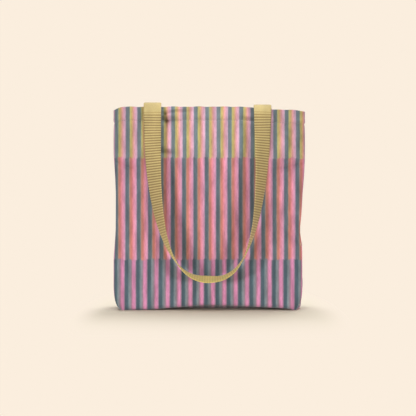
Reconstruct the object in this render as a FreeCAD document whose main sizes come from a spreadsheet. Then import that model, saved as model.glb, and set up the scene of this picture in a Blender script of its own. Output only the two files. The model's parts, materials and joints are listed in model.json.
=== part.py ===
import FreeCAD, Part
import math
import os

import Sketcher

# A canvas tote bag with two webbing handles, in millimetres.
# Origin at the middle of the base's underside: +Z up, the front faces -Y, the sides face -X and +X.
# The canvas is five cut pieces butted at bound seams, and the front and back wrap its soft corners.

SIZES = {
    "bag_width": 330.0,        # outside, across the front
    "bag_depth": 110.0,        # outside, front to back
    "bag_height": 350.0,       # floor to rim
    "cloth": 1.2,              # canvas thickness
    "corner_radius": 8.0,      # soft upright and lower edges
    "hem_depth": 25.0,         # facing inside the rim
    "stitch_drop": 23.0,       # rim to the hem's row of stitches
    "binding_width": 8.0,      # tape over each inside seam
    "strap_width": 30.0,       # handle webbing
    "strap_thickness": 2.0,
    "handle_spacing": 188.5,   # between the middles of a handle's two legs
    "handle_shift": -3.0,      # sideways, from the middle of the front
    "handle_lean": 4.0,        # further sideways at the hanging loop's lowest point
    "handle_drop": 300.0,      # from the fold over the rim to that point
    "strap_gap": 0.8,          # between a hanging leg and the canvas
    "fold_rise": 4.0,          # from the rim to the fold's own axis
    "tab_depth": 35.0,         # sewn end of the webbing, below the rim
    "tab_clearance": 0.3,      # how far that end stands above the rim
    "grip_turn": 112.0,        # degrees that the webbing turns on its way down to the grip
    "tack_size": 24.0,         # side of the square of stitches on each webbing end
    "thread": 0.8,             # width of a line of stitches
    "thread_height": 0.4,      # how far it stands out
    "stitch_length": 3.0,
    "stitch_pitch": 4.4,
}
SPARE = 10                     # how far a cutting block runs past the canvas, unseen in the result
LOOP_STEPS = 48                # sections along a handle from one fold to the other
FOLD_STEPS = 6                 # sections round each fold
DROP_POWER = 0.7               # the handle hangs in half an ellipse where these powers are 1,
ACROSS_POWER = 0.78            # and in a U with straighter legs where they are less


def turned(degrees):
    """A turn about the upright axis through the middle of the bag."""
    return FreeCAD.Rotation(FreeCAD.Vector(0, 0, 1), degrees)


doc = FreeCAD.newDocument("tote_bag")
nodes = []


def make_sheet():
    """The spreadsheet that holds every driving dimension, one per row, each under its own name."""
    sheet = doc.addObject("Spreadsheet::Sheet", "sizes")
    for row, (name, value) in enumerate(SIZES.items(), start=1):
        sheet.set(f"A{row}", name)
        sheet.set(f"B{row}", str(value))
        sheet.setAlias(f"B{row}", name)
    doc.recompute()
    return sheet


sizes = make_sheet()

# Expressions that several sub-parts share
HALF_WIDTH = "sizes.bag_width / 2"
HALF_DEPTH = "sizes.bag_depth / 2"
SEAM = "(sizes.bag_depth / 2 - sizes.corner_radius)"      # from the middle to a corner seam
HALF_BINDING = "sizes.binding_width / 2"
RIM = "sizes.bag_height"
HEM = "(sizes.bag_height - sizes.hem_depth)"


def keep(piece, label):
    """Names a finished sub-part, so that it is written to a file of that name."""
    piece.Label = label
    nodes.append(piece)
    return piece


def span_box(name, x_span, y_span, z_span):
    """A box between two expressions along each axis."""
    box = doc.addObject("Part::Box", name)
    for side, axis, (low, high) in zip(("Length", "Width", "Height"), "xyz", (x_span, y_span, z_span)):
        box.setExpression(side, f"({high}) - ({low})")
        box.setExpression(f"Placement.Base.{axis}", low)
    return box


def rounded_block(name, layers):
    """The bag's outline, set in by a number of cloth layers, with its upright and lower edges rounded."""
    inset = f"{layers} * sizes.cloth"
    x_span = (f"-({HALF_WIDTH} - {inset})", f"{HALF_WIDTH} - {inset}")
    y_span = (f"-({HALF_DEPTH} - {inset})", f"{HALF_DEPTH} - {inset}")
    top = f"{RIM} + {SPARE}"
    box = span_box(name + "_box", x_span, y_span, (inset, top))
    doc.recompute()
    top_z = box.Shape.BoundBox.ZMax
    radius = sizes.corner_radius - layers * sizes.cloth
    rounded = doc.addObject("Part::Fillet", name)
    rounded.Base = box
    rounded.Edges = [
        (number, radius, radius)
        for number, edge in enumerate(box.Shape.Edges, start=1)
        if edge.BoundBox.ZMin < top_z - SPARE
    ]
    return rounded


def cut(name, base, tool):
    result = doc.addObject("Part::Cut", name)
    result.Base = base
    result.Tool = tool
    return result


def cloth_piece(label, layer, x_span, y_span, z_span):
    """The part of a layer of cloth that lies inside a box."""
    region = span_box(label + "_region", x_span, y_span, z_span)
    piece = doc.addObject("Part::Common", label)
    piece.Base = layer
    piece.Tool = region
    return keep(piece, label)


def make_cloth():
    """The five canvas pieces, the facings inside the rim and the bindings over the inside seams."""
    outside, inside, lined = [rounded_block(f"outline_{layers}", layers) for layers in range(3)]
    canvas = cut("canvas_layer", outside, inside)
    lining = cut("lining_layer", inside, lined)

    below = f"-{SPARE}"
    left = (f"-{HALF_WIDTH} - {SPARE}", "0")
    right = ("0", f"{HALF_WIDTH} + {SPARE}")
    across = (left[0], right[1])
    front = (f"-{HALF_DEPTH} - {SPARE}", f"-{SEAM}")
    back = (SEAM, f"{HALF_DEPTH} + {SPARE}")
    between = (f"-{SEAM}", SEAM)
    full_height = (below, RIM)
    wall_height = ("sizes.corner_radius", RIM)
    hem_height = (HEM, RIM)

    cloth_piece("front_panel", canvas, across, front, full_height)
    cloth_piece("back_panel", canvas, across, back, full_height)
    cloth_piece("left_gusset", canvas, left, between, wall_height)
    cloth_piece("right_gusset", canvas, right, between, wall_height)
    cloth_piece("base_panel", canvas, across, between, (below, "sizes.corner_radius"))

    cloth_piece("front_hem_facing", lining, across, front, hem_height)
    cloth_piece("back_hem_facing", lining, across, back, hem_height)
    cloth_piece("left_hem_facing", lining, left, between, hem_height)
    cloth_piece("right_hem_facing", lining, right, between, hem_height)

    front_tape = (f"-{SEAM} - {HALF_BINDING}", f"-{SEAM} + {HALF_BINDING}")
    back_tape = (f"{SEAM} - {HALF_BINDING}", f"{SEAM} + {HALF_BINDING}")
    between_tapes = (front_tape[1], back_tape[0])
    along_seam = ("sizes.corner_radius", HEM)
    base_end = f"{HALF_WIDTH} - sizes.corner_radius - {HALF_BINDING}"
    along_base = (f"-({base_end})", base_end)
    low_seam = (below, "sizes.corner_radius")
    side_seam = (f"sizes.corner_radius - {HALF_BINDING}", f"sizes.corner_radius + {HALF_BINDING}")

    cloth_piece("front_left_binding", lining, left, front_tape, along_seam)
    cloth_piece("front_right_binding", lining, right, front_tape, along_seam)
    cloth_piece("back_left_binding", lining, left, back_tape, along_seam)
    cloth_piece("back_right_binding", lining, right, back_tape, along_seam)
    cloth_piece("base_front_binding", lining, along_base, front_tape, low_seam)
    cloth_piece("base_back_binding", lining, along_base, back_tape, low_seam)
    cloth_piece("base_left_binding", lining, left, between_tapes, side_seam)
    cloth_piece("base_right_binding", lining, right, between_tapes, side_seam)


def new_body(label):
    body = doc.addObject("PartDesign::Body", label)
    body.AllowCompound = True
    return keep(body, label)


def upright_sketch(body, distance):
    """A sketch on the body's XZ plane, moved to the given expression's distance towards -Y."""
    plane = next(feature for feature in body.Origin.OriginFeatures if feature.Role == "XZ_Plane")
    sketch = body.newObject("Sketcher::SketchObject", body.Name + "_sketch")
    sketch.AttachmentSupport = [(plane, "")]
    sketch.MapMode = "FlatFace"
    sketch.setExpression("AttachmentOffset.Base.z", distance)
    return sketch


def add_rectangle(sketch, corner, size, named):
    """A rectangle with its lower left corner and its two sides bound to expressions."""
    (x_low, z_low), (wide, tall) = corner, size
    points = [(1, 1), (2, 1), (2, 2), (1, 2)]
    first = sketch.GeometryCount
    for index, (x, z) in enumerate(points):
        next_x, next_z = points[(index + 1) % 4]
        sketch.addGeometry(Part.LineSegment(FreeCAD.Vector(x, z, 0), FreeCAD.Vector(next_x, next_z, 0)))
    for index in range(4):
        sketch.addConstraint(
            Sketcher.Constraint("Coincident", first + index, 2, first + (index + 1) % 4, 1)
        )
    for index, direction in enumerate(("Horizontal", "Vertical", "Horizontal", "Vertical")):
        sketch.addConstraint(Sketcher.Constraint(direction, first + index))
    places = [
        ("DistanceX", (-1, 1, first, 1, 1.0), "x", x_low),
        ("DistanceY", (-1, 1, first, 1, 1.0), "z", z_low),
        ("DistanceX", (first, 1, first, 2, 1.0), "wide", wide),
        ("DistanceY", (first + 1, 1, first + 1, 2, 1.0), "tall", tall),
    ]
    for kind, points_and_value, suffix, expression in places:
        number = sketch.addConstraint(Sketcher.Constraint(kind, *points_and_value))
        sketch.renameConstraint(number, named + suffix)
        sketch.setExpression(f"Constraints.{named}{suffix}", expression)


def pad(body, sketch, length, reversed_way=False):
    feature = body.newObject("PartDesign::Pad", body.Name + "_pad")
    feature.Profile = sketch
    feature.Reversed = reversed_way
    feature.setExpression("Length", length)
    sketch.Visibility = False
    return feature


# Where the webbing's sewn ends and its fold lie, from the middle of the bag towards the front
FACING_INSIDE = f"({HALF_DEPTH} - 2 * sizes.cloth)"
TAB_INSIDE = f"({FACING_INSIDE} - sizes.strap_thickness)"


def leg_middle(side):
    """How far along X the middle of a handle's leg is: side is -1 for its left leg and 1 for its right."""
    return f"(sizes.handle_shift + {side} * sizes.handle_spacing / 2)"


def make_strap_end(label, side, turn):
    """The end of the webbing, sewn flat inside the rim."""
    body = new_body(label)
    sketch = upright_sketch(body, TAB_INSIDE)
    corner = (f"{leg_middle(side)} - sizes.strap_width / 2", f"{RIM} - sizes.tab_depth")
    tall = "sizes.tab_depth + sizes.tab_clearance"
    add_rectangle(sketch, corner, ("sizes.strap_width", tall), "end_")
    pad(body, sketch, "sizes.strap_thickness")
    body.Placement.Rotation = turn


def make_tack(label, side, turn):
    """The square of stitches through a webbing end: four lines round it, standing out inside the bag."""
    body = new_body(label)
    sketch = upright_sketch(body, TAB_INSIDE)
    low_x = f"{leg_middle(side)} - sizes.tack_size / 2"
    low_z = f"{RIM} - sizes.tab_depth + (sizes.strap_width - sizes.tack_size) / 2"
    add_rectangle(sketch, (low_x, low_z), ("sizes.tack_size", "sizes.tack_size"), "outer_")
    inner = (f"{low_x} + sizes.thread", f"{low_z} + sizes.thread")
    inner_size = "sizes.tack_size - 2 * sizes.thread"
    add_rectangle(sketch, inner, (inner_size, inner_size), "inner_")
    pad(body, sketch, "sizes.thread_height", reversed_way=True)
    body.Placement.Rotation = turn


def make_hem_stitches(label, distance, side_length, turn):
    """A row of stitches along the flat outside of the rim, centred on one side of the bag."""
    body = new_body(label)
    sketch = upright_sketch(body, distance)
    room = sizes.get(side_length) - 2 * sizes.corner_radius - sizes.stitch_length
    count = int(room // sizes.stitch_pitch) + 1
    run = f"{count - 1} * sizes.stitch_pitch"
    corner = (f"-({run} + sizes.stitch_length) / 2", f"{RIM} - sizes.stitch_drop - sizes.thread / 2")
    add_rectangle(sketch, corner, ("sizes.stitch_length", "sizes.thread"), "stitch_")
    first = pad(body, sketch, "sizes.thread_height")
    row = body.newObject("PartDesign::LinearPattern", label + "_row")
    row.Originals = [first]
    row.Direction = (sketch, ["H_Axis"])
    row.Occurrences = count
    row.setExpression("Length", run)
    body.Tip = row
    body.Placement.Rotation = turn


def webbing_section(centre, across, outward):
    """The webbing's rectangular section, as a closed wire."""
    half_width = across * (sizes.strap_width / 2)
    half_thick = outward * (sizes.strap_thickness / 2)
    corners = [
        centre - half_width - half_thick,
        centre + half_width - half_thick,
        centre + half_width + half_thick,
        centre - half_width + half_thick,
    ]
    return Part.makePolygon(corners + corners[:1])


def fold_sections(side, fold_y, fold_z, fold_radius):
    """Sections round the half-round fold over the rim, from the inside of the bag to the outside."""
    middle_x = sizes.handle_shift + side * sizes.handle_spacing / 2
    across = FreeCAD.Vector(-side, 0, 0)
    sections = []
    for step in range(FOLD_STEPS + 1):
        angle = math.pi * step / FOLD_STEPS
        outward = FreeCAD.Vector(0, math.cos(angle), math.sin(angle))
        centre = FreeCAD.Vector(middle_x, fold_y, fold_z) + outward * fold_radius
        sections.append(webbing_section(centre, across, outward))
    return sections


def loop_path(share):
    """The hanging loop's middle line: 0 is at its left fold, 0.5 at its lowest point and 1 at its right fold."""
    side = -1 if share < 0.5 else 1
    way_down = 1 - abs(1 - 2 * share)
    angle = math.pi / 2 * way_down ** (1 / DROP_POWER)
    out_from_middle = sizes.handle_spacing / 2 * math.cos(angle) ** ACROSS_POWER
    x = sizes.handle_shift + side * out_from_middle + sizes.handle_lean * (1 - math.cos(angle))
    return FreeCAD.Vector(x, 0, -sizes.handle_drop * math.sin(angle) ** DROP_POWER)


def loop_sections(leg_y, fold_z):
    """Sections along the hanging U. The webbing turns evenly, so that the grip lies nearly level."""
    points = [loop_path(step / LOOP_STEPS) for step in range(LOOP_STEPS + 1)]
    lengths = [0.0]
    for before, after in zip(points, points[1:]):
        lengths.append(lengths[-1] + after.distanceToPoint(before))
    sections = []
    for step in range(1, LOOP_STEPS):
        along = (points[step + 1] - points[step - 1]).normalize()
        inward = FreeCAD.Vector(-along.z, 0, along.x)
        way_down = 2 * min(lengths[step], lengths[-1] - lengths[step]) / lengths[-1]
        turn = math.radians(sizes.grip_turn) * way_down
        across = inward * math.cos(turn) - FreeCAD.Vector(0, math.sin(turn), 0)
        outward = along.cross(across)
        centre = FreeCAD.Vector(points[step])
        centre.y = leg_y - sizes.strap_width / 2 * math.sin(turn)
        centre.z += fold_z
        sections.append(webbing_section(centre, across, outward))
    return sections


def make_handle_loop(label, turn):
    """The handle from fold to fold: one twisted ribbon of webbing, which swings about its folds."""
    tab_y = -(sizes.bag_depth / 2 - 2 * sizes.cloth - sizes.strap_thickness / 2)
    leg_y = -(sizes.bag_depth / 2 + sizes.strap_gap + sizes.strap_thickness / 2)
    fold_radius = (tab_y - leg_y) / 2
    fold_y = (tab_y + leg_y) / 2
    fold_z = sizes.bag_height + sizes.fold_rise
    left = fold_sections(-1, fold_y, fold_z, fold_radius)
    right = fold_sections(1, fold_y, fold_z, fold_radius)
    sections = left + loop_sections(leg_y, fold_z) + right[::-1]
    ribbon = doc.addObject("Part::Feature", label)
    ribbon.Shape = Part.makeLoft(sections, True, True)
    ribbon.Placement.Rotation = turn
    keep(ribbon, label)


def make_handle(face, end_names, turn):
    """One handle with its two sewn ends, made at the front and turned to its place."""
    make_handle_loop(f"{face}_handle_loop", turn)
    for name, side in zip(end_names, (-1, 1)):
        make_strap_end(f"{face}_{name}_strap_end", side, turn)
        make_tack(f"{face}_{name}_tack", side, turn)


def check_document():
    """Stops if any feature failed or any sub-part isn't a valid solid."""
    for thing in doc.Objects:
        if "Invalid" in thing.State or "Error" in thing.State:
            raise RuntimeError(f"{thing.Label} failed: {thing.State}")
    for node in nodes:
        shape = node.Shape
        if shape.isNull() or not shape.isValid() or not shape.Solids:
            raise RuntimeError(f"{node.Label} has no valid solid")


def main():
    make_cloth()
    make_handle("front", ("left", "right"), turned(0))
    make_handle("back", ("right", "left"), turned(180))
    make_hem_stitches("front_hem_stitches", HALF_DEPTH, "bag_width", turned(0))
    make_hem_stitches("back_hem_stitches", HALF_DEPTH, "bag_width", turned(180))
    make_hem_stitches("left_hem_stitches", HALF_WIDTH, "bag_depth", turned(-90))
    make_hem_stitches("right_hem_stitches", HALF_WIDTH, "bag_depth", turned(90))
    doc.recompute()
    check_document()
    os.makedirs("parts", exist_ok=True)
    for node in nodes:
        node.Shape.exportStep(f"parts/{node.Label}.step")
        print(f"{node.Label:24s} solids {len(node.Shape.Solids):3d}  volume {node.Shape.Volume:9.1f} mm3")


main()
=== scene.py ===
import json
import math

import bpy
import numpy as np
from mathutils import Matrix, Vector


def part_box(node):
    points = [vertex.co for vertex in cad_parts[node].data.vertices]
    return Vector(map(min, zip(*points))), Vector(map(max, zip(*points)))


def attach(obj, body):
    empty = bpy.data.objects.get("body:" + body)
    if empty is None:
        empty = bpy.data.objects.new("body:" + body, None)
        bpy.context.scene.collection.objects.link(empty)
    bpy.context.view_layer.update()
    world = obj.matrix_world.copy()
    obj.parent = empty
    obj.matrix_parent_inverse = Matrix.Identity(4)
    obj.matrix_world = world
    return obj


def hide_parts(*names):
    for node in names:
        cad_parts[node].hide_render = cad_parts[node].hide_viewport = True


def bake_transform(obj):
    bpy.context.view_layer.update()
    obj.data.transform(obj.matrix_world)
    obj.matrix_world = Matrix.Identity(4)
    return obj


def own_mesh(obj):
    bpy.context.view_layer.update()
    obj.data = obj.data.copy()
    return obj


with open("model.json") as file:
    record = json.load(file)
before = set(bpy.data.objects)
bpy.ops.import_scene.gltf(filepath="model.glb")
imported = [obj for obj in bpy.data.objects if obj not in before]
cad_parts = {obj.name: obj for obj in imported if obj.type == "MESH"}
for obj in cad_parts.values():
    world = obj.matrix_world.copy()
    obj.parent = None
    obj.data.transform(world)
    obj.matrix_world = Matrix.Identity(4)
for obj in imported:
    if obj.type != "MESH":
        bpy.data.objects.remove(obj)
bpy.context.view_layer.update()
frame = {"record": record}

# A striped canvas tote bag. Metres; the front faces -Y, and the bag stands on z = 0.
# One grid on the outside of the bag is rounded, creased and sagged, and then cut at the seams, so that
# neighbouring pieces of cloth share their edges. Thickness goes inwards from that outside surface.

MM = 0.001

# ---------------------------------------------------------------- sizes from the frame


def size(node, axis):
    """How long a CAD node is along one axis."""
    low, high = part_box(node)
    return high[axis] - low[axis]


HALF_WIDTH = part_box("front_panel")[1][0]
HALF_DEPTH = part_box("back_panel")[1][1]
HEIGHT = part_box("front_panel")[1][2]
RADIUS = size("front_panel", 1)
CLOTH = size("left_gusset", 0)
HEM_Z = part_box("front_hem_facing")[0][2]
STITCH_Z = sum(corner[2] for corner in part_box("front_hem_stitches")) / 2
HALF_TAPE = size("front_left_binding", 1) / 2
STRAP_WIDTH = size("front_left_strap_end", 0)
STRAP_THICK = size("front_left_strap_end", 1)
TAB_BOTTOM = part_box("front_left_strap_end")[0][2]      # the sewn end's lower edge
TACK_LOW, TACK_HIGH = (corner[2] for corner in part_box("front_left_tack"))
JOINTS = {joint["name"]: joint for joint in frame["record"]["behaviour"]["joints"]}
FOLD_Y, FOLD_Z = JOINTS["front_handle_swing"]["pos_m"][1:]

FLAT_X = HALF_WIDTH - RADIUS          # where the flat of a wall ends and its corner starts
FLAT_Y = HALF_DEPTH - RADIUS
LEG_X = [sum(corner[0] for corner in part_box(f"front_{side}_strap_end")) / 2 for side in ("left", "right")]
TAB_Y = sum(corner[1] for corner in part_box("front_left_strap_end")) / 2
LEG_Y = 2 * FOLD_Y - TAB_Y            # the hanging leg's middle, as far outside the fold as the tab is inside
LOOP_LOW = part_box("front_handle_loop")[0][2]

STRIPE_PITCH = 19.44 * MM
STRIPE_START = -5.6 * MM              # left edge of the middle slate stripe on the front
STRIPE_ENDS = 7                       # groups of warp yarns in one repeat of the stripes
MIDDLE_ZONE = 87.5 * MM               # heights where the stripes change colour
TOP_ZONE = 262.0 * MM
ZONE_RAGGED = 3.5 * MM                # how unevenly the yarns change there
ZONE_SOFT = 2.5 * MM                  # and over what height each of them does
WEAVE_PITCH = 1.1 * MM
GRIP_REACH = 0.12                     # how far from its middle a handle's ribs are smoothed by wear, and its colour painted paler as a highlight

BACKDROP = "fbeede"
FLOOR_COLOUR = "ece3cf"
FLOOR_GLOW = "fff8f0"                 # the light that the floor throws up at the bag
FLOOR_REACH = (0.06, 0.50)            # how far beside and before the bag the floor shows its own shade
DARK_REACH = (0.03, 0.03)             # how far it throws no light but what falls on it
BRIGHT_REACH = (0.35, 0.35)           # and how far its glow takes to fade from near to far
NEAR_FLOOR_LIGHT = 1.3
FAR_FLOOR_LIGHT = 0.1
WORLD_LIGHT = 0.08

# ---------------------------------------------------------------- small helpers


def ramp(low, high, value):
    """0 before low, 1 after high, smooth between."""
    t = np.clip((value - low) / (high - low), 0, 1)
    return t * t * (3 - 2 * t)


def bump(value, width):
    """1 at zero, falling away over width."""
    return np.exp(-((value / width) ** 2))


def through(points, value):
    """A smoothed line through listed (place, amount) points, flat beyond its ends."""
    places, amounts = zip(*points)
    shifts = [step * 3 * MM for step in (-2, -1, 0, 1, 2)]
    return sum(np.interp(value + shift, places, amounts) for shift in shifts) / len(shifts)


def waves(value, terms):
    """A sum of sines, each (amount, length, shift)."""
    return sum(amount * np.sin(2 * math.pi * (value / length + shift)) for amount, length, shift in terms)


def unit(vectors):
    """The same directions, each one long."""
    return vectors / np.linalg.norm(vectors, axis=1)[:, None]


def new_piece(name, points, faces, material):
    """A smooth mesh object of its own from points and faces, with one material."""
    mesh = bpy.data.meshes.new(name)
    mesh.from_pydata([tuple(p) for p in points], [], [tuple(f) for f in faces])
    mesh.update()
    mesh.polygons.foreach_set("use_smooth", [True] * len(mesh.polygons))
    mesh.materials.append(material)
    piece = bpy.data.objects.new(name, mesh)
    bpy.context.scene.collection.objects.link(piece)
    return piece


def tube_faces(first, rings, corners, inside_out=False):
    """The quads between rings of points that follow one another, and a cap on each end."""
    faces = []
    for ring in range(rings - 1):
        for k in range(corners):
            a = first + ring * corners + k
            b = first + ring * corners + (k + 1) % corners
            c, d = b + corners, a + corners
            faces.append((a, d, c, b) if inside_out else (a, b, c, d))
    start = tuple(range(first, first + corners))
    end = tuple(range(first + (rings - 1) * corners, first + rings * corners))
    return faces + ([start, end[::-1]] if inside_out else [start[::-1], end])


def add_attribute(piece, name, values):
    """Writes one vector per point for the material to read."""
    layer = piece.data.attributes.new(name, "FLOAT_VECTOR", "POINT")
    layer.data.foreach_set("vector", np.asarray(values, np.float32).ravel())


# ---------------------------------------------------------------- materials


class Nodes:
    """A short way to build a material's node tree."""

    def __init__(self, name):
        self.material = bpy.data.materials.new(name)
        self.material.use_nodes = True
        self.tree = self.material.node_tree
        self.shader = self.tree.nodes["Principled BSDF"]

    def link(self, value, socket):
        if isinstance(value, bpy.types.NodeSocket):
            self.tree.links.new(value, socket)
        elif value is not None:
            socket.default_value = value

    def math(self, operation, a, b=None):
        node = self.tree.nodes.new("ShaderNodeMath")
        node.operation = operation
        for value, socket in zip((a, b), node.inputs):
            self.link(value, socket)
        return node.outputs[0]

    def combine(self, x, y):
        node = self.tree.nodes.new("ShaderNodeCombineXYZ")
        for value, socket in zip((x, y), node.inputs):
            self.link(value, socket)
        return node.outputs[0]

    def split(self, vector):
        node = self.tree.nodes.new("ShaderNodeSeparateXYZ")
        self.link(vector, node.inputs[0])
        return node.outputs

    def stored(self, attribute):
        """The x, y and z of a vector stored on the mesh."""
        node = self.tree.nodes.new("ShaderNodeAttribute")
        node.attribute_name = attribute
        return self.split(node.outputs["Vector"])

    def position(self):
        """The place itself, as the object measures it."""
        return self.tree.nodes.new("ShaderNodeTexCoord").outputs["Object"]

    def noise(self, vector, scale, detail=2.0):
        node = self.tree.nodes.new("ShaderNodeTexNoise")
        node.inputs["Scale"].default_value = scale
        node.inputs["Detail"].default_value = detail
        self.link(vector, node.inputs["Vector"])
        return node.outputs[0]

    def grain(self, x, y, x_scale, y_scale, detail=2.0):
        """Noise over two measures, each with a fineness of its own."""
        stretched = self.combine(self.math("MULTIPLY", x, x_scale), self.math("MULTIPLY", y, y_scale))
        return self.noise(stretched, 1.0, detail)

    def random(self, vector):
        node = self.tree.nodes.new("ShaderNodeTexWhiteNoise")
        self.link(vector, node.inputs["Vector"])
        return node.outputs["Value"]

    def wave(self, value, pitch):
        """A sine that repeats every pitch."""
        return self.math("SINE", self.math("MULTIPLY", value, 2 * math.pi / pitch))

    def colours(self, factor, stops):
        """A colour ramp from (place, hex colour) stops."""
        node = self.tree.nodes.new("ShaderNodeValToRGB")
        elements = node.color_ramp.elements
        while len(elements) < len(stops):
            elements.new(0.5)
        for element, (place, colour) in zip(elements, stops):
            element.position = place
            element.color = linear(colour)
        self.link(factor, node.inputs[0])
        return node.outputs[0]

    def mix(self, factor, a, b, blend="MIX"):
        node = self.tree.nodes.new("ShaderNodeMix")
        node.data_type = "RGBA"
        node.blend_type = blend
        for value, socket in zip((factor, a, b), (node.inputs[0], node.inputs[6], node.inputs[7])):
            self.link(value, socket)
        return node.outputs[2]

    def darken(self, colour, pattern, darkest, amount):
        """The colour, darker where a pattern is low."""
        shades = self.colours(pattern, ((0.3, darkest), (0.7, "ffffff")))
        return self.mix(amount, colour, shades, "MULTIPLY")

    def emission(self, colour, strength):
        node = self.tree.nodes.new("ShaderNodeEmission")
        node.inputs[0].default_value = linear(colour)
        node.inputs[1].default_value = strength
        return node.outputs[0]

    def mix_shaders(self, factor, a, b):
        node = self.tree.nodes.new("ShaderNodeMixShader")
        for value, socket in zip((factor, a, b), node.inputs):
            self.link(value, socket)
        return node.outputs[0]

    def finish(self, shader):
        """Uses another shader than the principled one as the surface."""
        self.tree.links.new(shader, self.tree.nodes["Material Output"].inputs[0])

    def bump(self, height, strength, distance):
        node = self.tree.nodes.new("ShaderNodeBump")
        node.inputs["Strength"].default_value = strength
        node.inputs["Distance"].default_value = distance
        self.link(height, node.inputs["Height"])
        self.tree.links.new(node.outputs[0], self.shader.inputs["Normal"])


def linear(colour):
    """An sRGB hex colour as linear RGBA."""
    parts = [int(colour[k:k + 2], 16) / 255 for k in (0, 2, 4)]
    return tuple(p / 12.92 if p <= 0.04045 else ((p + 0.055) / 1.055) ** 2.4 for p in parts) + (1.0,)


# One repeat of the stripes in each zone, as (share of the repeat, colour): slate, a two-tone accent, pink
TOP_STRIPES = (
    (0.00, "6f7984"), (0.21, "6b7b79"), (0.26, "838e76"),
    (0.31, "b5ad6c"), (0.45, "c4a964"), (0.50, "cd9f71"), (0.59, "d99e8b"),
    (0.67, "df9fa6"), (0.78, "daa4b7"), (0.90, "caa7b9"), (0.97, "6f7984"),
)
MIDDLE_STRIPES = (
    (0.00, "586570"), (0.17, "5e6b71"), (0.22, "7f7c75"),
    (0.28, "b48472"), (0.38, "c97b68"), (0.48, "d17d76"), (0.55, "de8a97"),
    (0.67, "df90a8"), (0.80, "d296b0"), (0.87, "b08aa2"), (0.93, "586570"),
)
BOTTOM_STRIPES = (
    (0.00, "435560"), (0.12, "475f68"), (0.18, "6d7c80"),
    (0.30, "828389"), (0.40, "867880"), (0.46, "ab7a90"), (0.53, "cf83a4"),
    (0.68, "d286ac"), (0.76, "b67f9e"), (0.82, "8b7486"), (0.87, "435560"),
)


def cotton(n, colour, relief, depth, roughness, sheen, sheen_roughness=0.5, strength=0.5):
    """Finishes a cotton material: its colour, a matt surface with a faint sheen, and its relief."""
    n.link(colour, n.shader.inputs["Base Color"])
    n.shader.inputs["Roughness"].default_value = roughness
    n.shader.inputs["Sheen Weight"].default_value = sheen
    n.shader.inputs["Sheen Roughness"].default_value = sheen_roughness
    n.bump(relief, strength, depth)
    return n.material


def canvas_material():
    """Yarn-dyed striped canvas: colours from the cloth's own measure, so that they follow each fold."""
    n = Nodes("striped_canvas")
    across, up, _ = n.stored("cloth")
    streaks = n.grain(across, up, 60.0, 40.0, 3.0)
    fray = n.grain(across, up, 900.0, 350.0)
    wander = n.math("ADD", n.math("MULTIPLY", streaks, 0.05), n.math("MULTIPLY", fray, 0.04))
    repeats = n.math("DIVIDE", n.math("SUBTRACT", across, STRIPE_START), STRIPE_PITCH)
    repeats = n.math("ADD", repeats, n.math("SUBTRACT", wander, 0.045))
    phase = n.math("FRACT", repeats)
    ends = n.math("FLOOR", n.math("MULTIPLY", repeats, STRIPE_ENDS))
    uneven = n.math("SUBTRACT", n.random(n.combine(ends, 3.0)), 0.5)
    height = n.math("ADD", up, n.math("MULTIPLY", uneven, ZONE_RAGGED))

    colour = n.colours(phase, BOTTOM_STRIPES)
    for line, stripes in ((MIDDLE_ZONE, MIDDLE_STRIPES), (TOP_ZONE, TOP_STRIPES)):
        above = n.math("ADD", n.math("DIVIDE", n.math("SUBTRACT", height, line), ZONE_SOFT), 0.5)
        factor = n.math("MINIMUM", n.math("MAXIMUM", above, 0.0), 1.0)
        colour = n.mix(factor, colour, n.colours(phase, stripes))

    slubs = n.grain(across, up, 1200.0, 140.0, 3.0)
    colour = n.darken(colour, n.grain(ends, up, 0.37, 22.0), "8a8a8a", 0.55)
    colour = n.darken(colour, slubs, "9a9a9a", 0.35)
    weave = n.math("MULTIPLY", n.wave(across, WEAVE_PITCH), n.wave(up, WEAVE_PITCH))
    relief = n.math("ADD", weave, n.math("MULTIPLY", slubs, 2.0))
    return cotton(n, colour, relief, 0.12 * MM, roughness=0.85, sheen=0.15)


def webbing_material():
    """Ribbed mustard cotton webbing, speckled by its yarn, with painted shade between its ribs and a painted
    highlight where it lies flat: over the rim and at the grip, which wear has smoothed.
    """
    n = Nodes("cotton_webbing")
    along, across, rib = n.stored("webbing")
    from_middle = n.math("DIVIDE", n.math("ABSOLUTE", along), GRIP_REACH)
    near_grip = n.math("MAXIMUM", n.math("SUBTRACT", 1.0, from_middle), 0.0)
    yarn = n.grain(along, across, 900.0, 900.0)
    # painted shade and highlight: darker between the ribs, paler on them, and paler still where the webbing
    # lies flat over the rim
    colour = n.colours(rib, ((0.0, "8d7442"), (0.45, "a68d53"), (1.0, "cdb87c")))
    # painted highlight at the grip, the loop's lowest part, which faces up to the light: paler and yellower
    # there
    grip_highlight_colour = n.colours(rib, ((0.0, "b39c4c"), (0.5, "d6bf60"), (1.0, "e6d070")))
    colour = n.mix(near_grip, colour, grip_highlight_colour)
    colour = n.darken(colour, yarn, "b8b8b8", 0.5)
    colour = n.darken(colour, n.grain(along, across, 25.0, 60.0), "bebebe", 0.3)
    relief = n.math("ADD", n.wave(across, 1.0 * MM), n.math("MULTIPLY", yarn, 2.0))
    return cotton(n, colour, relief, 0.1 * MM, roughness=0.7, sheen=0.2, sheen_roughness=0.4)


def plain_yarn_material(name, dark, light, fineness, roughness):
    """Plain cotton with a grain of its own: the seam tape, and the thread, whose dark grey is partly painted
    shade.
    """
    n = Nodes(name)
    fibres = n.noise(n.position(), fineness, 3.0)
    colour = n.colours(fibres, ((0.3, dark), (0.7, light)))
    return cotton(n, colour, fibres, 0.15 * MM, roughness, sheen=0.2, strength=0.4)


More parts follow.
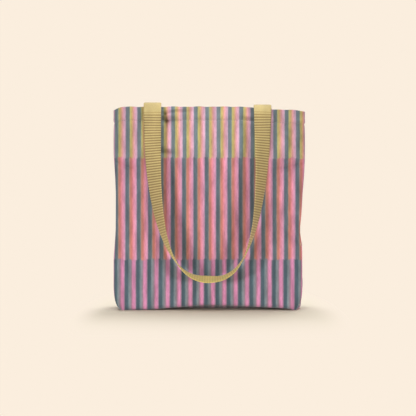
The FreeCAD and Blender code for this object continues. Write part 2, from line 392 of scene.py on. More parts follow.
def floor_material():
    """A pale floor that shows its own light and shade near the bag, and glows like the backdrop further out.

    It throws more light up at the bag than it shows, as a white studio floor does under its own lamps.
    """
    n = Nodes("studio_floor")
    n.shader.inputs["Base Color"].default_value = linear(FLOOR_COLOUR)
    n.shader.inputs["Roughness"].default_value = 1.0
    n.shader.inputs["Specular IOR Level"].default_value = 0.0
    own_light = n.shader.outputs[0]
    x, y, _ = n.split(n.position())
    off_x = n.math("MAXIMUM", n.math("SUBTRACT", n.math("ABSOLUTE", x), HALF_WIDTH), 0.0)
    off_y = n.math("MAXIMUM", n.math("SUBTRACT", n.math("ABSOLUTE", y), HALF_DEPTH), 0.0)

    def share(reach):
        """0 at the bag, 1 from its reach to the sides and to the front and back on, smooth between."""
        x_share = n.math("DIVIDE", off_x, reach[0])
        y_share = n.math("DIVIDE", off_y, reach[1])
        squares = n.math("ADD", n.math("MULTIPLY", x_share, x_share), n.math("MULTIPLY", y_share, y_share))
        s = n.math("MINIMUM", n.math("SQRT", squares), 1.0)
        slope = n.math("SUBTRACT", 3.0, n.math("MULTIPLY", s, 2.0))
        return n.math("MULTIPLY", n.math("MULTIPLY", s, s), slope)

    near_glow = n.emission(FLOOR_GLOW, NEAR_FLOOR_LIGHT)
    far_glow = n.emission(FLOOR_GLOW, FAR_FLOOR_LIGHT)
    glow = n.mix_shaders(share(BRIGHT_REACH), near_glow, far_glow)
    thrown = n.mix_shaders(share(DARK_REACH), own_light, glow)
    seen = n.mix_shaders(share(FLOOR_REACH), own_light, n.emission(BACKDROP, 1.0))
    rays = n.tree.nodes.new("ShaderNodeLightPath")
    n.finish(n.mix_shaders(rays.outputs["Is Camera Ray"], thrown, seen))
    return n.material


CANVAS = canvas_material()
WEBBING = webbing_material()
TAPE = plain_yarn_material("seam_tape", "9c8a66", "c9b88f", 700.0, 0.85)
# dark grey thread, partly its own colour and partly painted shade: the hem's row of stitches also paints the
# dark line along its groove
THREAD = plain_yarn_material("thread", "5f5a58", "857d79", 1500.0, 0.7)

# ---------------------------------------------------------------- the bag's outside, as a grid on a box

GRID = 3.5 * MM                       # the widest gaps between grid lines: on the walls,
CORNER_GRID = 1.6 * MM                # round the corners,
SEAM_GRID = 1.3 * CORNER_GRID         # under the seam tape
HEM_GRID = 1.3 * MM                   # and in the hem


def stops(marks, gaps):
    """Grid lines through every mark, evenly spaced between two marks and no further apart than their gap."""
    lines = [marks[0]]
    for low, high, gap in zip(marks, marks[1:], gaps):
        count = max(1, math.ceil((high - low) / gap - 0.01))
        lines += [low + (high - low) * (k + 1) / count for k in range(count)]
    return lines


def wall_stops(half, flat):
    """Grid lines across a wall: close together in its corners, and on the edges of the seam tape."""
    right = stops([flat - HALF_TAPE, flat, half], [SEAM_GRID, CORNER_GRID])[1:]
    middle = stops([-flat + HALF_TAPE, flat - HALF_TAPE], [GRID])
    return [-value for value in reversed(right)] + middle + right


X_STOPS = wall_stops(HALF_WIDTH, FLAT_X)
Y_STOPS = wall_stops(HALF_DEPTH, FLAT_Y)
Z_STOPS = stops([0, RADIUS, RADIUS + HALF_TAPE, HEM_Z, HEIGHT], [CORNER_GRID, SEAM_GRID, GRID, HEM_GRID])

# Each side of the box: its two runs of grid lines, and how a place on them becomes a point of the box
SIDES = {
    "front": (X_STOPS, Z_STOPS, lambda a, b: (a, -HALF_DEPTH, b)),
    "right": (Y_STOPS, Z_STOPS, lambda a, b: (HALF_WIDTH, a, b)),
    "back": (X_STOPS, Z_STOPS, lambda a, b: (-a, HALF_DEPTH, b)),
    "left": (Y_STOPS, Z_STOPS, lambda a, b: (-HALF_WIDTH, -a, b)),
    "base": (X_STOPS, Y_STOPS, lambda a, b: (a, -b, 0.0)),
}


def make_grid():
    """Every point of the box's grid once, the quads between them, and each side's own table of points."""
    numbers, points, quads, tables = {}, [], [], {}
    for side, (across, up, place) in SIDES.items():
        table = np.zeros((len(across), len(up)), int)
        for i, a in enumerate(across):
            for j, b in enumerate(up):
                point = place(a, b)
                key = tuple(round(value * 1e6) for value in point)
                if key not in numbers:
                    numbers[key] = len(points)
                    points.append(point)
                table[i, j] = numbers[key]
        for i in range(len(across) - 1):
            for j in range(len(up) - 1):
                quads.append((table[i, j], table[i + 1, j], table[i + 1, j + 1], table[i, j + 1]))
        tables[side] = table
    return np.array(points), np.array(quads), tables


def round_off(points):
    """The nearest point of the box that the corners are rounded about, and the way out from it."""
    core = points.copy()
    core[:, 0] = np.clip(points[:, 0], -FLAT_X, FLAT_X)
    core[:, 1] = np.clip(points[:, 1], -FLAT_Y, FLAT_Y)
    core[:, 2] = np.maximum(points[:, 2], RADIUS)
    return core, unit(points - core)


# How far each upright corner is pushed in, by height, at the front left, front right, back left, back right
CORNER_PUSH = {
    (-1, -1): ((0.0, 0.010), (0.003, 0.009), (0.008, 0.006), (0.012, 0.004), (0.020, 0.002),
               (0.035, 0.0005), (0.09, 0.0005), (0.115, 0.0025), (0.138, 0.004), (0.20, 0.0043),
               (0.23, 0.003), (0.27, 0.0005)),
    (1, -1): ((0.0, 0.013), (0.008, 0.010), (0.016, 0.007), (0.030, 0.005), (0.105, 0.005),
              (0.122, 0.007), (0.138, 0.0095), (0.153, 0.0075), (0.17, 0.006), (0.20, 0.0045),
              (0.23, 0.002), (0.26, 0.0005)),
    (-1, 1): ((0.0, 0.010), (0.03, 0.001), (0.10, 0.005), (0.16, 0.002), (0.25, 0.006), (0.35, 0.003)),
    (1, 1): ((0.0, 0.012), (0.03, 0.002), (0.12, 0.003), (0.19, 0.008), (0.26, 0.003), (0.35, 0.004)),
}

# How far the front's lower edge lifts off the floor along the bag
FRONT_ARCH = ((-0.160, 0.0), (-0.100, 0.0010), (-0.055, 0.0052), (-0.006, 0.0088), (0.050, 0.0074),
              (0.107, 0.0045), (0.141, 0.0020), (0.160, 0.0))

# Creases on the front and back: from (x, z) towards (x, z), depth and half width
FRONT_CREASES = (
    ((-0.168, 0.259), (-0.110, 0.237), 5.0 * MM, 3.6 * MM),
    ((0.170, 0.258), (0.112, 0.239), 5.0 * MM, 3.6 * MM),
    ((0.176, 0.160), (0.112, 0.176), 3.5 * MM, 10.0 * MM),
    ((0.174, 0.104), (0.112, 0.160), 6.0 * MM, 6.5 * MM),
    ((-0.080, 0.338), (-0.028, 0.343), 3.5 * MM, 3.0 * MM),
    ((-0.086, 0.328), (-0.046, 0.324), 6.0 * MM, 6.0 * MM),
    ((-0.090, 0.272), (-0.052, 0.268), 4.5 * MM, 5.0 * MM),
    ((0.086, 0.326), (0.040, 0.332), 2.0 * MM, 3.5 * MM),
    ((0.168, 0.290), (0.114, 0.300), 3.5 * MM, 6.0 * MM),
    ((0.168, 0.325), (0.116, 0.318), 2.8 * MM, 5.0 * MM),
    ((-0.079, 0.352), (-0.072, 0.300), 4.5 * MM, 5.0 * MM),
)
BACK_CREASES = (
    ((-0.166, 0.205), (-0.118, 0.226), 2.6 * MM, 7.0 * MM),
    ((0.166, 0.150), (0.120, 0.128), 2.4 * MM, 6.0 * MM),
    ((0.060, 0.020), (0.030, 0.070), 1.6 * MM, 8.0 * MM),
)

WALL_HOLLOW = 6.0 * MM                # how far each big wall dishes in at its middle
GRIP_DIP = 7.0 * MM                   # and further in just above the handle's grip
HEM_GROOVE = 1.0 * MM                 # how deep the hem's stitches pull the cloth in
HEM_SWELL = 0.6 * MM                  # and how far it swells out above them
GUSSET_FOLD = 11.0 * MM               # how far a gusset folds in along its middle, at the rim
GUSSET_CREASE = 3.0 * MM              # and the sharper crease in that fold


def crease(x, z, start, end, depth, width):
    """A soft furrow with a low ridge beside it, fading towards its far end."""
    start, end = np.array(start), np.array(end)
    along = end - start
    length = np.linalg.norm(along)
    along /= length
    dx, dz = x - start[0], z - start[1]
    reach = (dx * along[0] + dz * along[1]) / length
    off = -dx * along[1] + dz * along[0]
    off = off if along[0] > 0 else -off
    fade = ramp(-0.15, 0.15, reach) * (1 - ramp(0.55, 1.1, reach))
    return depth * fade * (bump(off, width) - 0.7 * bump(off - 1.9 * width, 1.4 * width))


def wall_sag(x, z, creases, seed):
    """How far a big wall lies inside its flat plane: its hollow, a dip, slow waves and creases."""
    across = np.clip(x / HALF_WIDTH, -1, 1)
    hollow = WALL_HOLLOW * (1 - across ** 2) * np.sin(math.pi * np.clip(z / HEIGHT, 0, 1)) ** 0.8
    slow = waves(x + 0.25 * z, ((0.5 * MM, 0.13, seed), (0.35 * MM, 0.061, 2.3 * seed)))
    slow += waves(z - 0.3 * x, ((0.5 * MM, 0.19, 1.7 * seed), (0.25 * MM, 0.083, 3.1 * seed)))
    slow *= ramp(0, 0.03, z) * (1 - ramp(HEIGHT - 0.05, HEIGHT - 0.01, z))
    dip = GRIP_DIP * bump(x - 0.012, 0.070) * ramp(0.050, 0.074, z) * (1 - ramp(0.085, 0.160, z))
    total = hollow + dip + slow
    for each in creases:
        total = total + crease(x, z, *each)
    return total


def hem_relief(along, z):
    """The pull of the hem's stitches: a groove along them, puckers on both sides and a swell above."""
    above = z - STITCH_Z
    groove = HEM_GROOVE * bump(above, 1.6 * MM)
    pucker = waves(along, ((0.35 * MM, 0.017, 0.1), (0.25 * MM, 0.0113, 0.4), (0.3 * MM, 0.029, 0.7)))
    swell = HEM_SWELL * bump(above - 6 * MM, 4.5 * MM)
    return groove - swell + pucker * bump(above, 9 * MM)


def rim_drop(x, y):
    """How far the rim hangs below its full height."""
    front = ramp(FLAT_Y, -FLAT_Y, y)
    right = 0.6 * MM + 4.8 * MM * ramp(0.045, 0.115, x) + 1.5 * MM * ramp(0.12, 0.16, x)
    left_end = 5.5 * MM * bump(x + 0.168, 0.012)
    right_end = 1.5 * MM * bump(x - 0.168, 0.01) + waves(x, ((0.3 * MM, 0.041, 0.2), (0.25 * MM, 0.023, 0.5)))
    back = waves(x, ((1.2 * MM, 0.31, 0.2), (0.9 * MM, 0.17, 0.6))) + 2.2 * MM
    side = 3.5 * MM * bump(y, 0.035) * ramp(0.14, HALF_WIDTH, abs(x))
    return front * (right + left_end + right_end) + (1 - front) * back + side


def shape_bag(points):
    """Turns points of the box into the standing, slightly slumped bag."""
    core, out = round_off(points)
    x, y, z = (core + RADIUS * out).T.copy()
    x0, y0, z0 = x.copy(), y.copy(), z.copy()
    front = np.clip(-out[:, 1], 0, 1)
    back = np.clip(out[:, 1], 0, 1)
    sides = np.clip(np.abs(out[:, 0]), 0, 1)

    y += front * (wall_sag(x0, z0, FRONT_CREASES, 0.21) + hem_relief(x0, z0))
    y -= back * (wall_sag(-x0, z0, BACK_CREASES, 0.57) + hem_relief(x0, z0))

    inward = np.cos(0.5 * math.pi * np.clip(y0 / FLAT_Y, -1, 1))
    fold = GUSSET_FOLD * inward ** 1.5 * (0.2 + 0.8 * ramp(0.03, 0.32, z0))
    fold += GUSSET_CREASE * bump(y0, 0.012) * ramp(0.05, 0.2, z0)
    fold += inward * waves(z0, ((0.9 * MM, 0.11, 0.3), (0.6 * MM, 0.047, 0.8)))
    x -= np.sign(x0) * sides * (fold + hem_relief(y0, z0))

    for (side_x, side_y), profile in CORNER_PUSH.items():
        off_x = np.abs(x0 - side_x * HALF_WIDTH)
        off_y = np.abs(y0 - side_y * HALF_DEPTH)
        push = through(profile, z0) * (side_x * x0 > 0) * (side_y * y0 > -0.02)
        x -= side_x * push * bump(off_x, 0.022) * bump(np.maximum(off_y - RADIUS, 0), 0.030)
        beyond_seam = ramp(0, RADIUS, np.abs(y0) - FLAT_Y)
        y -= side_y * push * bump(off_x, 0.014) * bump(off_y, 0.014) * 0.8 * beyond_seam

    arch = through(FRONT_ARCH, x0) * ramp(0.01, -HALF_DEPTH, y0)
    arch += through(FRONT_ARCH, -x0) * 0.7 * ramp(-0.01, HALF_DEPTH, y0)
    z += arch * (1 - ramp(0, 0.07, z0))
    z -= rim_drop(x0, y0) * ramp(HEIGHT - 0.12, HEIGHT, z0)
    return np.stack([x, y, z], axis=1)


BOX_POINTS, QUADS, TABLES = make_grid()
SURFACE = shape_bag(BOX_POINTS)


def point_normals(points, quads):
    """The outward normal at every point, weighted by the area of the quads around it."""
    a, b, c, d = (points[quads[:, k]] for k in range(4))
    face = np.cross(c - a, d - b)
    total = np.zeros_like(points)
    for corner in range(4):
        np.add.at(total, quads[:, corner], face)
    return unit(total)


NORMALS = point_normals(SURFACE, QUADS)


def on_side(side, across, up, inset=0.0):
    """A place on one side of the bag, at a depth below its outside, and the outward normal there."""
    across_stops, up_stops, _ = SIDES[side]
    i = min(max(int(np.searchsorted(across_stops, across)) - 1, 0), len(across_stops) - 2)
    j = min(max(int(np.searchsorted(up_stops, up)) - 1, 0), len(up_stops) - 2)
    s = (across - across_stops[i]) / (across_stops[i + 1] - across_stops[i])
    t = (up - up_stops[j]) / (up_stops[j + 1] - up_stops[j])
    table = TABLES[side]
    shares = (
        (i, j, (1 - s) * (1 - t)),
        (i + 1, j, s * (1 - t)),
        (i, j + 1, (1 - s) * t),
        (i + 1, j + 1, s * t),
    )
    point = sum(share * SURFACE[table[m, n]] for m, n, share in shares)
    normal = sum(share * NORMALS[table[m, n]] for m, n, share in shares)
    normal = normal / np.linalg.norm(normal)
    return point - inset * normal, normal


# ---------------------------------------------------------------- cloth pieces

CORE, OUT = round_off(BOX_POINTS)
TURN = np.arctan2(np.abs(OUT[:, 0]), np.abs(OUT[:, 1]))           # the angle round an upright corner
DIP = np.arcsin(np.clip(-OUT[:, 2], -1, 1))                       # and round a lower edge
WALL_UP = CORE[:, 2] - RADIUS * DIP   # how far up a wall's flat cloth
WRAP = RADIUS * math.pi / 2           # the cloth that goes round a corner


def cloth_measure(part):
    """Where each point lies on the flat cloth that a part was cut from: across it and up it."""
    x, y = BOX_POINTS[:, 0], BOX_POINTS[:, 1]
    side = np.sign(x)
    rounded_x = CORE[:, 0] + RADIUS * OUT[:, 0]
    wrapped = CORE[:, 0] + side * RADIUS * TURN + SURFACE[:, 0] - rounded_x
    if part == "front":
        across, up = wrapped, WALL_UP
    elif part == "back":
        across, up = -wrapped, WALL_UP
    elif part in ("left", "right"):
        across, up = side * (FLAT_X + WRAP + y + FLAT_Y), WALL_UP
    else:
        across, up = x, RADIUS - WRAP - FLAT_Y - y
    return np.stack([across, up, np.zeros_like(across)], axis=1)


def quads_where(test):
    """The quads whose middles, on the box, pass a test."""
    middles = BOX_POINTS[QUADS].mean(axis=1)
    return QUADS[test(*middles.T)]


def in_part(part, x, y, z):
    """Which places of the box belong to a part of the bag: the seams run between the parts."""
    between = np.abs(y) < FLAT_Y
    if part == "front":
        return y < -FLAT_Y
    if part == "back":
        return y > FLAT_Y
    if part == "base":
        return between & (z < RADIUS)
    side = -1 if part == "left" else 1
    return between & (z > RADIUS) & (x * side > 0)


def cloth_shell(name, quads, part, inset, thickness, material):
    """A closed piece of cloth: the chosen quads, an inset copy of them and an edge all round."""
    used, quads = np.unique(quads, return_inverse=True)
    quads = quads.reshape(-1, 4)
    count = len(used)
    outer = SURFACE[used] - inset * NORMALS[used]
    inner = SURFACE[used] - (inset + thickness) * NORMALS[used]
    edges = {}                        # those that one quad alone has, in the order that they were met
    for quad in quads:
        for k in range(4):
            start, end = int(quad[k]), int(quad[(k + 1) % 4])
            if (end, start) in edges:
                del edges[(end, start)]
            else:
                edges[(start, end)] = True
    rim = [(end, start, start + count, end + count) for start, end in edges]
    faces = list(map(tuple, quads)) + [tuple(quad[::-1] + count) for quad in quads] + rim
    piece = new_piece(name, np.concatenate([outer, inner]), faces, material)
    measure = cloth_measure(part)[used]
    add_attribute(piece, "cloth", np.concatenate([measure, measure]))
    return piece


def squash_with_fold(piece):
    """Gives a piece between the two big walls a mesh of its own."""
    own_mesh(piece)


def place_piece(piece, part, node):
    """Puts a piece on its body, in the place of its CAD node."""
    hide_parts(node)
    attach(piece, "back" if part == "back" else "root")
    if part in ("left", "right", "base"):
        squash_with_fold(piece)


PART_NODES = {"front": "front_panel", "back": "back_panel", "left": "left_gusset",
              "right": "right_gusset", "base": "base_panel"}


def make_canvas():
    """The five cut pieces of the bag, each a sheet of its own."""
    for part, node in PART_NODES.items():
        quads = quads_where(lambda x, y, z: in_part(part, x, y, z))
        piece = cloth_shell(node + "_cloth", quads, part, 0.0, CLOTH, CANVAS)
        place_piece(piece, part, node)


def make_facings():
    """The strip of the same canvas inside the rim of each wall."""
    for part in ("front", "back", "left", "right"):
        quads = quads_where(lambda x, y, z: in_part(part, x, y, z) & (z > HEM_Z))
        node = f"{part}_hem_facing"
        piece = cloth_shell(node + "_cloth", quads, part, CLOTH, CLOTH, CANVAS)
        place_piece(piece, part, node)


TAPE_GAP = 0.05 * MM                  # between the tape and the canvas


def add_binding(part, node, where):
    """The seam tape over the chosen places on the inside of a part, just clear of the canvas."""
    tape = cloth_shell(node + "_tape", quads_where(where), part, CLOTH + TAPE_GAP, CLOTH - TAPE_GAP, TAPE)
    place_piece(tape, part, node)
    return tape


def make_bindings():
    """Cotton tape over the seams: along the uprights, then the base's long sides and its short ones."""
    for part, side_y in (("front", -1), ("back", 1)):
        for name, side_x in (("left", -1), ("right", 1)):
            def upright(x, y, z):
                beside_seam = np.abs(y * side_y - FLAT_Y) < HALF_TAPE
                on_wall = np.abs(x) > FLAT_X + HALF_TAPE
                return beside_seam & on_wall & (x * side_x > 0) & (z > RADIUS) & (z < HEM_Z)

            squash_with_fold(add_binding(part, f"{part}_{name}_binding", upright))

        def long_side(x, y, z):
            beside_seam = np.abs(y * side_y - FLAT_Y) < HALF_TAPE
            return beside_seam & (z == 0) & (np.abs(x) < FLAT_X - HALF_TAPE)

        squash_with_fold(add_binding(part, f"base_{part}_binding", long_side))
    for part, side_x in (("left", -1), ("right", 1)):
        def short_side(x, y, z):
            beside_seam = (np.abs(z - RADIUS) < HALF_TAPE) & (x * side_x > FLAT_X)
            return beside_seam & (np.abs(y) < FLAT_Y - HALF_TAPE)

        add_binding(part, f"base_{part}_binding", short_side)


# ---------------------------------------------------------------- stitches

STITCH_PITCH = 4.4 * MM
THREAD_RADIUS = 0.34 * MM
TACK_PITCH = 2.4 * MM
TACK_THREAD_RADIUS = 0.4 * MM

# A stitch's rings: how far along it, and their width and height above the cloth as shares of the radius
STITCH_RINGS = ((0.0, 0.35, -0.9), (0.12, 0.9, 0.0), (0.5, 1.0, 0.45), (0.88, 0.9, 0.0), (1.0, 0.35, -0.9))
STITCH_CORNERS = 6


def add_stitch(points, faces, start, end, normal, radius):
    """A short round thread from start to end, sinking into the cloth at both ends."""
    along = end - start
    length = np.linalg.norm(along)
    along = along / length
    beside = np.cross(normal, along)
    faces += tube_faces(len(points), len(STITCH_RINGS), STITCH_CORNERS)
    for share, width, lift in STITCH_RINGS:
        middle = start + along * length * share + normal * lift * radius
        for k in range(STITCH_CORNERS):
            angle = 2 * math.pi * k / STITCH_CORNERS
            points.append(middle + radius * width * (math.cos(angle) * beside + math.sin(angle) * normal))


def stitch_line(points, faces, locate, places, radius, fill):
    """A row of stitches between places, each given to locate for its point and normal.

    fill is the share of the way to the next place that a stitch covers.
    """
    spots = [locate(*place) for place in places]
    for (start, normal), (end, _) in zip(spots, spots[1:]):
        add_stitch(points, faces, start, start + (end - start) * fill, normal, radius)


def even_places(start, end, pitch):
    """Evenly spaced places from start to end, as pairs."""
    start, end = np.array(start), np.array(end)
    count = max(1, round(float(np.linalg.norm(end - start)) / pitch))
    return [tuple(start + (end - start) * k / count) for k in range(count + 1)]


def make_hem_stitches():
    """The row of stitches that holds the hem, on the outside and on the facing."""
    for part, half in (("front", FLAT_X), ("back", FLAT_X), ("left", FLAT_Y), ("right", FLAT_Y)):
        reach = half + 3 * MM if part in ("front", "back") else half
        places = even_places((-reach, STITCH_Z), (reach, STITCH_Z), STITCH_PITCH)

        def outside(across, up):
            return on_side(part, across, up)

        def inside(across, up):
            point, normal = on_side(part, across, up, 2 * CLOTH)
            return point, -normal

        points, faces = [], []
        for locate in (outside, inside):
            stitch_line(points, faces, locate, places, THREAD_RADIUS, 0.68)
        node = f"{part}_hem_stitches"
        piece = new_piece(node + "_thread", points, faces, THREAD)
        place_piece(piece, part, node)


# ---------------------------------------------------------------- handles

RIB_PITCH = 4.4 * MM
RIB_HEIGHT = 0.20 * MM
RIB_STEPS = 7                         # sections of the webbing from one rib to the next
GRIP_TURN = math.radians(112)
GRIP_HALF_HEIGHT = STRAP_WIDTH / 2 * abs(math.cos(GRIP_TURN))
LOOP_DROP = FOLD_Z - LOOP_LOW - GRIP_HALF_HEIGHT - STRAP_THICK / 2 * math.sin(GRIP_TURN)
LEG_TWIST = (1.15, 0.78)              # left and right: under 1, a leg turns sooner on its way down
LOOP_LEAN = 4.0 * MM                  # how far to the right the loop's lowest point is
LOOP_POINTS = 3000
DROP_POWER = 0.7                      # as in the CAD: the loop is half an ellipse where both are 1
ACROSS_POWER = 0.78

# The webbing over the rim, seen from the side: how far out from the sewn end, and how far above the rim
RIM_CROSSING = (
    (0.0, -0.034), (0.0, -0.020), (0.0, -0.006), (-0.0001, 0.0010),
    (-0.0011, 0.0050), (-0.0036, 0.0068), (-0.0070, 0.0058), (-0.0102, 0.0020),
    (-0.0124, -0.0045), (-0.0128, -0.0120), (-0.0112, -0.0200), (-0.0090, -0.0290),
    (-0.0070, -0.0380), (-0.0057, -0.0480), (-0.0052, -0.0580), (-0.0052, -0.0680),
)


def loop_point(share):
    """The hanging U's middle line, from its left fold (0) by its lowest point to its right fold (1)."""
    middle, half = (LEG_X[0] + LEG_X[1]) / 2, (LEG_X[1] - LEG_X[0]) / 2
    side = -1 if share < 0.5 else 1
    angle = math.pi / 2 * (1 - abs(1 - 2 * share)) ** (1 / DROP_POWER)
    x = middle + side * half * math.cos(angle) ** ACROSS_POWER + LOOP_LEAN * (1 - math.cos(angle))
    return np.array([x, 0.0, -LOOP_DROP * math.sin(angle) ** DROP_POWER])


def evenly_along(points, step):
    """The same line, as points a step apart."""
    points = np.array(points)
    lengths = np.concatenate([[0], np.cumsum(np.linalg.norm(np.diff(points, axis=0), axis=1))])
    wanted = np.linspace(0, lengths[-1], round(lengths[-1] / step) + 1)
    return np.stack([np.interp(wanted, lengths, points[:, k]) for k in range(3)], axis=1)


def smooth_line(points, rounds):
    """Rounds off the corners between listed points by cutting them again and again."""
    points = np.array(points)
    for _ in range(rounds):
        near = 0.75 * points[:-1] + 0.25 * points[1:]
        far = 0.25 * points[:-1] + 0.75 * points[1:]
        inner = np.stack([near, far], axis=1).reshape(-1, points.shape[1])
        points = np.concatenate([points[:1], inner, points[-1:]])
    return points


# The back handle is the front one turned half round the upright axis
FLIPS = {"front": np.array([1, 1, 1]), "back": np.array([-1, -1, 1])}


def rim_fall(face, x):
    """How far the rim hangs below its full height where the webbing crosses it."""
    return HEIGHT - on_side(face, x, HEIGHT)[0][2]


def canvas_sag(face, x, z):
    """How far the canvas lies inside its flat plane near a height: the most across the webbing's width."""
    aside = np.linspace(-0.5, 0.5, 7) * STRAP_WIDTH
    spots = [(x + a, min(z + b, HEIGHT)) for a in aside for b in (-5 * MM, 0, 5 * MM)]
    return HALF_DEPTH - min(abs(on_side(face, *spot)[0][1]) for spot in spots)


def rim_leg(face, x, beside, crossing):
    """The webbing near the rim, from a sewn end to the loop, whose points on that side are beside."""
    heights = np.linspace(TAB_BOTTOM, HEIGHT, 20)
    sags = [canvas_sag(face, x, z) for z in heights]
    leg = np.array([(x, TAB_Y + out, z) for out, z in crossing])
    hanging = leg[:, 2] <= FOLD_Z
    leg[hanging, 0] = np.interp(-leg[hanging, 2], -beside[:, 2], beside[:, 0])
    near_rim = ramp(HEIGHT - 0.06, HEIGHT - 0.02, leg[:, 2])
    inside = np.arange(len(leg)) <= np.argmax(leg[:, 2])
    leg[:, 1] += np.where(inside, np.interp(leg[:, 2], heights, sags), sags[-1] * near_rim)
    leg[:, 2] -= rim_fall(face, x) * near_rim
    return leg


def handle_line(face):
    """The webbing's middle line from one sewn end to the other, and its twist along the way."""
    crossing = smooth_line([(out, HEIGHT + up) for out, up in RIM_CROSSING], 4)
    loop = np.array([loop_point(k / LOOP_POINTS) for k in range(LOOP_POINTS + 1)])
    loop[:, 2] += FOLD_Z
    middle = len(loop) // 2
    left = rim_leg(face, LEG_X[0], loop[:middle], crossing)
    right = rim_leg(face, LEG_X[1], loop[middle:][::-1], crossing)
    hanging = loop[loop[:, 2] < crossing[-1, 1]]
    hanging[:, 1] = LEG_Y
    line = evenly_along(np.concatenate([left, hanging, right[::-1]]), RIB_PITCH / RIB_STEPS)
    shares = np.arange(len(line)) / (len(line) - 1)
    over = np.argmax(line[:, 2] * (shares < 0.2)) / len(line)
    down = np.clip((0.5 - np.hypot(shares - 0.5, 0.008) - over) / (0.5 - over), 0, 1)
    down = down.max() * (down / down.max()) ** np.where(shares < 0.5, *LEG_TWIST)
    return line, GRIP_TURN * (0.955 * down + 0.055 * down ** 8)


def handle_sections(face):
    """The webbing's middle and the way across it, at every step from one sewn end to the other."""
    line, turn = handle_line(face)
    along = unit(np.gradient(line, axis=0))
    lean = np.stack([-along[:, 2], np.zeros(len(line)), along[:, 0]], axis=1)
    upper = len(line) // 2
    rim_way = np.zeros_like(line)
    rim_way[:upper, 0], rim_way[upper:, 0] = 1, -1
    flat = ramp(HEIGHT - 0.075, HEIGHT - 0.035, line[:, 2])[:, None]
    lean = unit(lean * (1 - flat) + rim_way * flat)
    across = lean * np.cos(turn)[:, None] - np.outer(np.sin(turn), (0, 1, 0))
    line[:, 1] -= STRAP_WIDTH / 2 * np.sin(turn)
    return line, across


def webbing_outline():
    """The webbing's section, as (across, out) shares of its half width and half thickness."""
    columns = [-1.0, -0.97, -0.88, -0.7, -0.45, -0.15, 0.15, 0.45, 0.7, 0.88, 0.97, 1.0]
    top = [(u, (1 - abs(u) ** 8) ** 0.5) for u in columns]
    return top + [(u, -v) for u, v in reversed(top[1:-1])]


def rib_levels(lengths, heights):
    """How high each section lies, from 0 between ribs to 1 on one: flatter where it is taut and where wear
    has smoothed the grip. The webbing's colour follows it, with painted shade between the ribs and a painted
    highlight where it is flat.
    """
    from_middle = np.abs(lengths - lengths[-1] / 2)
    taut = ramp(HEIGHT - 0.020, HEIGHT - 0.006, heights)
    near_grip = 0.5 * (1 - ramp(0.6 * GRIP_REACH, 1.4 * GRIP_REACH, from_middle))
    flat = np.maximum(taut, near_grip)
    return (0.5 + 0.5 * np.cos(2 * math.pi * lengths / RIB_PITCH)) * (1 - flat) + 0.85 * flat


def make_handle(face):
    """One length of webbing: sewn inside the rim, over it, down in a twisted U and back."""
    middles, across = handle_sections(face)
    along = unit(np.gradient(middles, axis=0))
    across = unit(across - along * (across * along).sum(axis=1)[:, None])
    out = np.cross(along, across)
    steps = np.linalg.norm(np.diff(middles, axis=0), axis=1)
    lengths = np.concatenate([[0], np.cumsum(steps)])
    ribs = rib_levels(lengths, middles[:, 2])
    outline = webbing_outline()
    points, measures = [], []
    for middle, wide, thick, rib, length in zip(middles, across, out, ribs, lengths):
        for u, v in outline:
            level = STRAP_THICK / 2 - RIB_HEIGHT * (1 - rib) * (1 - abs(u) ** 12)
            points.append(middle + wide * u * STRAP_WIDTH / 2 + thick * v * level)
            # the rib level also places the webbing's painted shade and painted highlight
            measures.append((length - lengths[-1] / 2, u * STRAP_WIDTH / 2, rib))
    faces = tube_faces(0, len(middles), len(outline), inside_out=True)
    piece = new_piece(f"{face}_handle_webbing", np.array(points) * FLIPS[face], faces, WEBBING)
    add_attribute(piece, "webbing", measures)
    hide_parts(f"{face}_handle_loop", f"{face}_left_strap_end", f"{face}_right_strap_end")
    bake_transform(piece)


def make_tacks():
    """A square of stitches with a cross in it through each sewn end, on the webbing and on the canvas."""
    half = (TACK_HIGH - TACK_LOW) / 2
    middle_z = (TACK_LOW + TACK_HIGH) / 2
    low_left, low_right, high_right, high_left = (-half, -half), (half, -half), (half, half), (-half, half)
    route = [low_left, low_right, high_right, high_left, low_left, high_right, low_right, high_left]
    for face, names in (("front", ("left", "right")), ("back", ("right", "left"))):
        flip = FLIPS[face]
        for name, x in zip(names, LEG_X):
            fall = rim_fall(face, x)

            def outside(a, b):
                return on_side(face, x + a, middle_z + b)

            def inside(a, b):
                webbing_y = TAB_Y + STRAP_THICK / 2 + canvas_sag(face, x, middle_z + b)
                point = np.array([x + a, webbing_y, middle_z + b - fall])
                return point * flip, np.array([0.0, 1.0, 0.0]) * flip

            points, faces = [], []
            for start, end in zip(route, route[1:]):
                places = even_places(start, end, TACK_PITCH)
                for locate in (outside, inside):
                    stitch_line(points, faces, locate, places, TACK_THREAD_RADIUS, 0.8)
            node = f"{face}_{name}_tack"
            piece = new_piece(node + "_thread", points, faces, THREAD)
            place_piece(piece, face, node)


# ---------------------------------------------------------------- studio


def make_floor():
    """A wide, level floor."""
    half = 40.0
    points = [(-half, -half, 0), (half, -half, 0), (half, half, 0), (-half, half, 0)]
    floor = new_piece("studio_floor", points, [(0, 1, 2, 3)], floor_material())


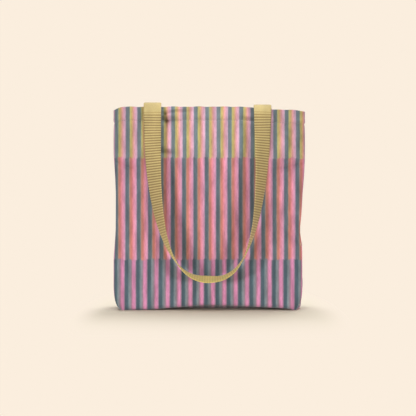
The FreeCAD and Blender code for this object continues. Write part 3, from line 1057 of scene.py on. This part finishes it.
def make_world():
    """The backdrop's colour to the camera, and a dimmer, neutral light to everything else."""
    world = bpy.data.worlds.new("studio")
    world.use_nodes = True
    tree = world.node_tree
    light = tree.nodes["Background"]
    light.inputs[0].default_value = (1, 1, 1, 1)
    light.inputs[1].default_value = WORLD_LIGHT
    seen = tree.nodes.new("ShaderNodeBackground")
    seen.inputs[0].default_value = linear(BACKDROP)
    seen.inputs[1].default_value = 1.0
    choose = tree.nodes.new("ShaderNodeMixShader")
    rays = tree.nodes.new("ShaderNodeLightPath")
    tree.links.new(rays.outputs["Is Camera Ray"], choose.inputs[0])
    tree.links.new(light.outputs[0], choose.inputs[1])
    tree.links.new(seen.outputs[0], choose.inputs[2])
    tree.links.new(choose.outputs[0], tree.nodes["World Output"].inputs[0])
    bpy.context.scene.world = world


def add_light(name, place, target, width_and_height, watts, spread=180):
    """A soft rectangular lamp aimed at a target, itself unseen by the camera."""
    light = bpy.data.lights.new(name, "AREA")
    light.shape = "RECTANGLE"
    light.size, light.size_y = width_and_height
    light.energy = watts
    light.spread = math.radians(spread)
    lamp = bpy.data.objects.new(name, light)
    lamp.location = place
    lamp.rotation_euler = (Vector(target) - Vector(place)).to_track_quat("-Z", "Y").to_euler()
    lamp.visible_camera = False
    bpy.context.scene.collection.objects.link(lamp)


def make_studio():
    """A low lamp on either side, one over the front, and large soft ones above and behind."""
    make_floor()
    make_world()
    front_middle = (0, -HALF_DEPTH, 0.16)
    front_rim = (0, -HALF_DEPTH, 0.34)
    add_light("left_softbox", (-0.54, -0.60, 0.08), front_middle, (0.10, 0.12), 4.1)
    add_light("right_softbox", (0.54, -0.60, 0.05), front_middle, (0.12, 0.10), 3.6)
    add_light("front_softbox", (0, -0.42, 0.72), front_rim, (0.2, 0.15), 0.28, spread=50)
    add_light("top_softbox", (0, 0.40, 1.4), (0, 0, 0), (2.0, 1.2), 22)
    add_light("back_softbox", (0.5, 1.5, 0.9), (0, 0, 0.15), (1.0, 0.8), 14)
    bpy.context.scene.view_settings.view_transform = "Standard"


def make_camera():
    """A long lens at the bag's mid-height, square on to its front."""
    camera = bpy.data.cameras.new("camera")
    view_height, distance = 0.7130, 2.4
    camera.sensor_width = 36.0
    camera.lens = camera.sensor_width * distance / view_height
    holder = bpy.data.objects.new("camera", camera)
    holder.location = (-0.0022, -HALF_DEPTH - distance, 0.1757)
    holder.rotation_euler = (math.pi / 2, 0, 0)
    bpy.context.scene.collection.objects.link(holder)
    bpy.context.scene.camera = holder


make_canvas()
make_facings()
make_bindings()
make_hem_stitches()
make_handle("front")
make_handle("back")
make_tacks()
make_studio()
make_camera()
